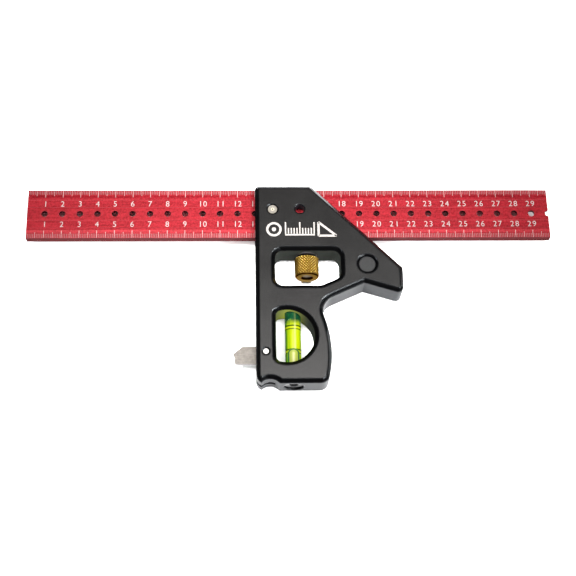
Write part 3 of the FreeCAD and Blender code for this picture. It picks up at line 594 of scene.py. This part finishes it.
def level_glass():
    """The level's clear barrel with its dyed liquid inside, seen as one lens.

    The barrel magnifies the liquid to its full width, so the liquid's colours, the printed rings, their
    painted reflections, painted light and shade across the lens and the painted line of focused light all
    lie on the barrel's surface.
    """
    g = Graph("level_glass", **CLEAR)
    x = g.math("SUBTRACT", g.part(g.place, "X"), LEVEL_X)
    y = g.part(g.place, "Y")
    side = g.math("DIVIDE", g.gap(x, LENS_SHIFT), LEVEL_RADIUS + LENS_MARGIN)
    across = g.waver(side, g.noise(0.35, detail=2.0, stretch=(2.0, 0.3, 1.0)), 0.16)
    # painted light and shade across the lens: bright in the middle, with a darker band and dark sides
    colour = g.ramp(
        across,
        (0.00, (0.60, 0.74, 0.004)),
        (0.45, (0.66, 0.79, 0.002)),
        (0.62, (0.36, 0.62, 0.006)),
        (0.74, (0.58, 0.74, 0.004)),
        (0.86, (0.20, 0.45, 0.010)),
        (1.00, (0.045, 0.18, 0.012)),
    )

    # painted shade: deep green where the column meets the closed end, where less light gets into the
    # liquid
    deep = g.spread(g.waver(y, g.noise(0.5, detail=2.0), 2.0), *COLUMN_END)
    shade_mottle = g.spread(g.noise(0.45, detail=2.0, stretch=(1.6, 1.0, 1.0)), *NARROW)
    colour = g.mix(deep, colour, g.mix(shade_mottle, (0.004, 0.110, 0.030), (0.001, 0.050, 0.024)))

    # the rings: a crisp line in front and a softer one behind it, with painted light between
    for ring_y in LEVEL_RINGS:
        bright = g.spread(g.gap(y, ring_y - 0.5 * RING_PARALLAX), 0.2, 1.6, 1.0, 0.0)
        colour = g.mix(g.math("MULTIPLY", bright, 0.5), colour, (0.80, 0.82, 0.005))
        for at, half, strength in ((ring_y, 0.42, 0.95), (ring_y - RING_PARALLAX, 0.34, 0.85)):
            line = g.spread(g.gap(y, at), half * 0.6, half * 1.5, 1.0, 0.0)
            colour = g.mix(g.math("MULTIPLY", line, strength), colour, (0.030, 0.085, 0.004))

    # a painted highlight: the line of light that the round barrel gathers
    streak = g.spread(g.gap(x, STREAK_SHIFT), 0.12, 0.80, 1.0, 0.0)
    patch = g.spread(g.noise(0.25, detail=2.0, stretch=(1.0, 0.6, 1.0)), *WIDE, 0.35, 0.75)
    patch = g.math("MULTIPLY", patch, g.spread(deep, 0.0, 1.0, 1.0, 0.18))
    g.shine_through(g.mix(g.math("MULTIPLY", streak, patch), colour, (0.86, 0.90, 0.30)))
    return g.material


def bubble_glass():
    """The bubble under the barrel: pale in the middle, where a highlight is painted, ringed by its dark
    meniscus.
    """
    g = Graph("bubble_glass", **CLEAR)
    x = g.math("SUBTRACT", g.part(g.place, "X"), LEVEL_X)
    past = g.math("SUBTRACT", g.gap(g.part(g.place, "Y"), BUBBLE_MIDDLE), BUBBLE_REACH - BUBBLE_END)
    along = g.math("DIVIDE", g.math("MAXIMUM", past, 0.0), BUBBLE_END)
    side = g.math("DIVIDE", x, BUBBLE_HALF)
    out = g.math("SQRT", g.math("ADD", g.math("MULTIPLY", along, along), g.math("MULTIPLY", side, side)))
    out = g.waver(out, g.noise(0.7, detail=2.0, stretch=(2.0, 0.5, 1.0)), 0.10)
    colour = g.ramp(
        out,
        (0.00, (0.82, 0.82, 0.38)),
        (0.22, (0.62, 0.66, 0.13)),
        (0.45, (0.46, 0.55, 0.09)),
        (0.62, (0.55, 0.64, 0.10)),
        (0.74, (0.12, 0.19, 0.06)),
        (0.84, (0.008, 0.15, 0.050)),
        (0.93, (0.10, 0.32, 0.03)),
        (1.00, (0.33, 0.60, 0.02)),
    )
    g.shine_through(colour)
    return g.material


def dress(name, material):
    """Gives a CAD node its material."""
    for slot in nodes[name].material_slots:
        slot.material = material


def soften(name, width):
    """Merges the flat faces' triangles and rounds the sharp edges a little."""
    obj = nodes[name]
    merge = obj.modifiers.new("merge_flats", "DECIMATE")
    merge.decimate_type = "DISSOLVE"
    merge.angle_limit = math.radians(0.5)
    rounding = obj.modifiers.new("round_edges", "BEVEL")
    rounding.width = width * MM
    rounding.segments = 2
    rounding.limit_method = "ANGLE"
    rounding.angle_limit = math.radians(30.0)
    rounding.miter_outer = "MITER_ARC"
    shading = obj.modifiers.new("even_shading", "WEIGHTED_NORMAL")
    shading.keep_sharp = False
    shading.weight = 80


# ---------------------------------------------------------------- making pieces


def piece(name, vertices, faces, material, body, smooth=False):
    """A new mesh from points in millimetres, riding on a body."""
    mesh = bpy.data.meshes.new(name)
    mesh.from_pydata([Vector(v) * MM for v in vertices], [], faces)
    mesh.validate()
    mesh.materials.append(material)
    for polygon in mesh.polygons:
        polygon.use_smooth = smooth
    obj = bpy.data.objects.new(name, mesh)
    bpy.context.scene.collection.objects.link(obj)
    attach(obj, body)
    return obj


def add_face(vertices, faces, points):
    start = len(vertices)
    vertices += points
    faces.append(tuple(range(start, start + len(points))))


def surface_height(inset):
    """Height of the rule's face at a distance in from its long edge, up to the groove."""
    if inset <= STRIP:
        return RULE_TOP - RELIEF
    if inset >= STRIP + SLOPE:
        return RULE_TOP
    return RULE_TOP - RELIEF + RELIEF * (inset - STRIP) / SLOPE


def scale_ticks(name, material, kinds):
    """Graduations from both long edges, lying on the strip and its slope.

    Each kind gives the millimetres between its ticks, and their length and width.
    """
    vertices, faces = [], []
    for millimetre in range(1, round(RULE_END - RULE_START)):
        step = next(s for s in TICK_STEPS if millimetre % s == 0)
        if step not in kinds:
            continue
        length, width = kinds[step]
        x = RULE_START + millimetre
        stops = [EDGE_GAP] + [s for s in (STRIP, STRIP + SLOPE) if s < length] + [length]
        for edge, inward in ((RULE_LOW, 1.0), (RULE_HIGH, -1.0)):
            for near, far in zip(stops, stops[1:]):
                corners = []
                for side, inset in ((-1, near), (1, near), (1, far), (-1, far)):
                    z = surface_height(inset) + MARK_LIFT
                    corners.append((x + side * width / 2, edge + inward * inset, z))
                if inward < 0:
                    corners.reverse()
                add_face(vertices, faces, corners)
    piece(name, vertices, faces, material, "rule")


def digit_outlines():
    """Flat shapes of the ten digits, one unit high and centred, from the built-in face."""
    shapes = {}
    for digit in "0123456789":
        curve = bpy.data.curves.new("digit", "FONT")
        curve.body = digit
        curve.offset = DIGIT_THINNING
        holder = bpy.data.objects.new("digit", curve)
        flat = bpy.data.meshes.new_from_object(holder)
        points = [v.co.xy for v in flat.vertices]
        low_x, high_x = min(p.x for p in points), max(p.x for p in points)
        low_y, high_y = min(p.y for p in points), max(p.y for p in points)
        height = high_y - low_y
        middle = (low_x + high_x) / 2
        shapes[digit] = (
            [((p.x - middle) / height, (p.y - low_y) / height - 0.5) for p in points],
            [tuple(polygon.vertices) for polygon in flat.polygons],
        )
        bpy.data.objects.remove(holder)
        bpy.data.curves.remove(curve)
        bpy.data.meshes.remove(flat)
    return shapes


def scale_numbers():
    """Centimetre numbers in both grooves, reading the same way up."""
    shapes = digit_outlines()
    z = RULE_TOP - RELIEF + MARK_LIFT
    vertices, faces = [], []
    for centimetre in range(1, round((RULE_END - RULE_START) / CENTIMETRE)):
        text = str(centimetre)
        for y in (RULE_MIDDLE - NUMBER_ROW, RULE_MIDDLE + NUMBER_ROW):
            for place, digit in enumerate(text):
                x = RULE_START + CENTIMETRE * centimetre + NUMBER_SHIFT
                x += (place - (len(text) - 1) / 2) * DIGIT_ADVANCE
                x += ONE_SHIFT if digit == "1" else 0.0
                points, polygons = shapes[digit]
                start = len(vertices)
                for px, py in points:
                    vertices.append((x + px * DIGIT_HEIGHT * DIGIT_STRETCH, y + py * DIGIT_HEIGHT, z))
                faces += [tuple(start + i for i in polygon) for polygon in polygons]
    white = print_white("number_white", (0.140, 0.118, 0.114), (0.220, 0.198, 0.190))
    piece("scale_numbers", vertices, faces, white, "rule")


def stroke(vertices, faces, start, end, width, z):
    """A straight painted line."""
    along = (Vector(end) - Vector(start)).normalized()
    side = Vector((-along.y, along.x)) * width / 2
    a, b = Vector(start), Vector(end)
    add_face(vertices, faces, [(p.x, p.y, z) for p in (a - side, b - side, b + side, a + side)])


def ring(vertices, faces, centre, inner, outer, z, steps=48):
    """A painted ring."""
    for i in range(steps):
        a0, a1 = 2 * math.pi * i / steps, 2 * math.pi * (i + 1) / steps
        corners = [(inner, a0), (outer, a0), (outer, a1), (inner, a1)]
        add_face(vertices, faces, [
            (centre[0] + r * math.cos(a), centre[1] + r * math.sin(a), z) for r, a in corners
        ])


def face_motif():
    """A plain drawing on the face: a compass ring, a row of graduations and a set square."""
    z = FACE_Z + MARK_LIFT
    vertices, faces = [], []
    compass = (MOTIF_LEFT + COMPASS_OUTER, COMPASS_HEIGHT)
    ring(vertices, faces, compass, COMPASS_INNER, COMPASS_OUTER, z)
    ring(vertices, faces, compass, 0.0, COMPASS_DOT, z)

    first, last = MOTIF_LEFT + BARS_FROM_LEFT, MOTIF_RIGHT - BARS_FROM_RIGHT
    for i in range(BARS):
        x = first + (last - first) * i / (BARS - 1)
        top = MOTIF_HIGH if i % BARS_TO_LONG == 0 else MOTIF_HIGH - BAR_SHORTER
        stroke(vertices, faces, (x, MOTIF_LOW + BAR_START), (x, top), BAR_WIDTH, z)
    base = MOTIF_LOW + BASE_HEIGHT
    stroke(vertices, faces, (first - BASE_OVERHANG, base), (last + BASE_OVERHANG, base), BASE_WIDTH, z)

    corner = (MOTIF_RIGHT - SET_SQUARE_WIDTH, MOTIF_LOW + SET_SQUARE_HEIGHT)
    across, up = (MOTIF_RIGHT, corner[1]), (corner[0], MOTIF_HIGH)
    for start, end in ((corner, across), (corner, up), (across, up)):
        stroke(vertices, faces, start, end, SET_SQUARE_LINE, z)
    white = print_white("motif_white", (0.14, 0.13, 0.12), (0.22, 0.205, 0.19))
    piece("face_motif", vertices, faces, white, "head")


def knurl_height(angle, y):
    """Height of the knurl from 0 to 1: pyramids with their points turned down flat."""
    turn = angle * KNURLS / (2 * math.pi)
    rise = y / KNURL_PITCH
    first = abs(((turn + rise) % 1.0) * 2 - 1)
    second = abs(((turn - rise) % 1.0) * 2 - 1)
    return min(min(first, second) / KNURL_FLAT, 1.0)


def knurled_nut():
    """The lock nut: chamfered ends, a plain band at each and a diamond knurl between."""
    bottom, top = nut_low.y, nut_high.y
    shoulder = bottom + NUT_LENGTH
    around = KNURLS * KNURL_STEPS
    knurled = NUT_LENGTH - 2 * NUT_PLAIN
    rows = round(knurled / KNURL_PITCH * KNURL_STEPS)

    # radius and height of each ring of points, down the outside and back up the bore
    upper = [
        (NUT_BORE, top),
        (NUT_HUB - HUB_BREAK, top),
        (NUT_HUB, top - HUB_BREAK),
        (NUT_HUB, shoulder),
        (NUT_RADIUS - NUT_BEVEL, shoulder),
        (NUT_RADIUS - RIM_BREAK, shoulder - NUT_BEVEL),
    ]
    cut = [(NUT_RADIUS, shoulder - NUT_PLAIN - knurled * i / rows) for i in range(rows + 1)]
    lower = [
        (NUT_RADIUS - RIM_BREAK, bottom + NUT_BEVEL),
        (NUT_RADIUS - NUT_BEVEL - END_BREAK, bottom),
        (NUT_BORE + BORE_BREAK, bottom),
        (NUT_BORE, bottom + BORE_BREAK),
        (NUT_BORE, top),
    ]
    rings = upper + cut + lower

    vertices, faces = [], []
    for index, (radius, y) in enumerate(rings):
        in_knurl = len(upper) <= index < len(upper) + len(cut)
        for i in range(around):
            angle = 2 * math.pi * i / around
            r = radius - KNURL_DEPTH * (1 - knurl_height(angle, y)) if in_knurl else radius
            vertices.append((NUT_AXIS.x + r * math.cos(angle), y, NUT_AXIS.z + r * math.sin(angle)))
    for index in range(len(rings) - 1):
        for i in range(around):
            j = (i + 1) % around
            a, b = index * around, (index + 1) * around
            faces.append((a + i, a + j, b + j, b + i))
    nut = piece("knurled_nut", vertices, faces, brass(), "nut")
    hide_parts("lock_nut")


def bubble_cap():
    """The bubble as the barrel shows it: a long lens with round ends, lying on the barrel."""
    vertices, faces = [], []
    for j in range(BUBBLE_ALONG + 1):
        share = -1 + 2 * j / BUBBLE_ALONG
        y = BUBBLE_MIDDLE + share * BUBBLE_REACH
        past = max(abs(share) * BUBBLE_REACH - (BUBBLE_REACH - BUBBLE_END), 0.0) / BUBBLE_END
        width = BUBBLE_HALF * math.sqrt(max(1 - past * past, 0.0))
        for i in range(BUBBLE_ACROSS + 1):
            x = width * (-1 + 2 * i / BUBBLE_ACROSS)
            edge = (x / BUBBLE_HALF) ** 2 + past * past
            radius = LEVEL_RADIUS + BUBBLE_LIFT * (1.0 + BUBBLE_CROWN * max(0.0, 1 - edge))
            vertices.append((LEVEL_X + x, y, LEVEL_Z + math.sqrt(radius ** 2 - x * x)))
    row = BUBBLE_ACROSS + 1
    for j in range(BUBBLE_ALONG):
        for i in range(BUBBLE_ACROSS):
            a = j * row + i
            faces.append((a, a + 1, a + row + 1, a + row))
    cap = piece("bubble_cap", vertices, faces, bubble_glass(), "bubble", smooth=True)
    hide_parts("vial_bubble")


# ---------------------------------------------------------------- the scene

make_camera()
make_world()
# A soft panel overhead, a weak one that the lower face mirrors, and one in front; a narrow strip at
# the lower right for the chamfers; and two spots that meet on the middle of the rule.
make_panel("overhead", (-0.06, -0.05, 1.15), (-0.06, -0.05, 0.0), (1.10, 0.42), 27.5)
make_panel("face_panel", (-0.06, 0.27, 1.15), (-0.06, 0.27, 0.0), (1.10, 0.22), 2.7)
make_panel("front", (-0.06, -1.02, 1.10), (0.0, 0.0, 0.0), (1.10, 0.62), 22.0)
make_panel("side_strip", (0.89, -0.77, 0.85), (0.02, 0.0, 0.01), (0.80, 0.22), 26.0)
make_spot("left_spot", (-0.62, 0.06, 1.25))
make_spot("right_spot", (0.59, 0.06, 1.25))
make_floor()
bpy.context.scene.view_settings.view_transform = "Standard"

dress("head_casting", head_black())
soften("head_casting", 0.35)
dress("ruler_blade", rule_red())
soften("ruler_blade", 0.10)
fine_white = print_white("fine_tick_white", (0.080, 0.018, 0.020), (0.138, 0.050, 0.051))
tick_white = print_white("tick_white", (0.14, 0.088, 0.086), (0.225, 0.168, 0.163))
scale_ticks("millimetre_ticks", fine_white, FINE_TICKS)
scale_ticks("centimetre_ticks", tick_white, COARSE_TICKS)
scale_numbers()
face_motif()
knurled_nut()
dress("vial_tube", level_glass())
bubble_cap()

# painted shade and a painted reflection of the brass: the bolt is coloured dark and brownish, as its end
# shows deep in the nut's bore
dress("lock_bolt", steel("shaded_bolt_steel", (0.035, 0.024, 0.014), (0.130, 0.096, 0.058), 0.30, 0.45))
washer_black = plain(
    "washer_black", (0.006, 0.006, 0.006), (0.014, 0.013, 0.012), 0.40, 0.55, Specular_IOR_Level=0.10
)
dress("lock_washer", washer_black)
dress("tab_flat_washer", steel("washer_steel", (0.42, 0.37, 0.28), (0.66, 0.60, 0.48)))
spring_steel = steel("spring_steel", (0.36, 0.37, 0.40), (0.58, 0.59, 0.62))
for name in ("lock_spring", "detent_spring", "tab_spring_washer"):
    dress(name, spring_steel)
dress("detent_ball", steel("ball_steel", (0.70, 0.69, 0.67), (0.88, 0.87, 0.85), 0.08, 0.16))
sleeve_steel = turned_steel(
    "sleeve_steel", "detent_sleeve", (0.10, 0.093, 0.080), (0.235, 0.217, 0.188), dot=0.42
)
dress("detent_sleeve", sleeve_steel)
dress("tab_pivot_pin", turned_steel("pin_steel", "tab_pivot_pin", (0.38, 0.38, 0.37), (0.53, 0.52, 0.50)))
dress("support_tab", tab_steel())
soften("support_tab", 0.12)
magnet_dark = plain(
    "magnet_dark", (0.004, 0.004, 0.004), (0.009, 0.009, 0.009), 0.30, 0.40, Specular_IOR_Level=0.22
)
dress("disc_magnet", magnet_dark)
dress("vial_retaining_plug", plain("plug_dark", (0.008, 0.008, 0.009), (0.018, 0.018, 0.019), 0.30, 0.42))
dress("vial_pad", plain("pad_rubber", (0.012, 0.012, 0.012), (0.022, 0.022, 0.021), 0.6, 0.8))
dress("vial_end_plug", plain("end_plug_green", (0.30, 0.42, 0.02), (0.40, 0.55, 0.03), 0.3, 0.4))
liquid_green = plain(
    "liquid_green", (0.40, 0.62, 0.01), (0.55, 0.75, 0.02), 0.1, 0.2, Transmission_Weight=0.6
)
dress("vial_liquid", liquid_green)
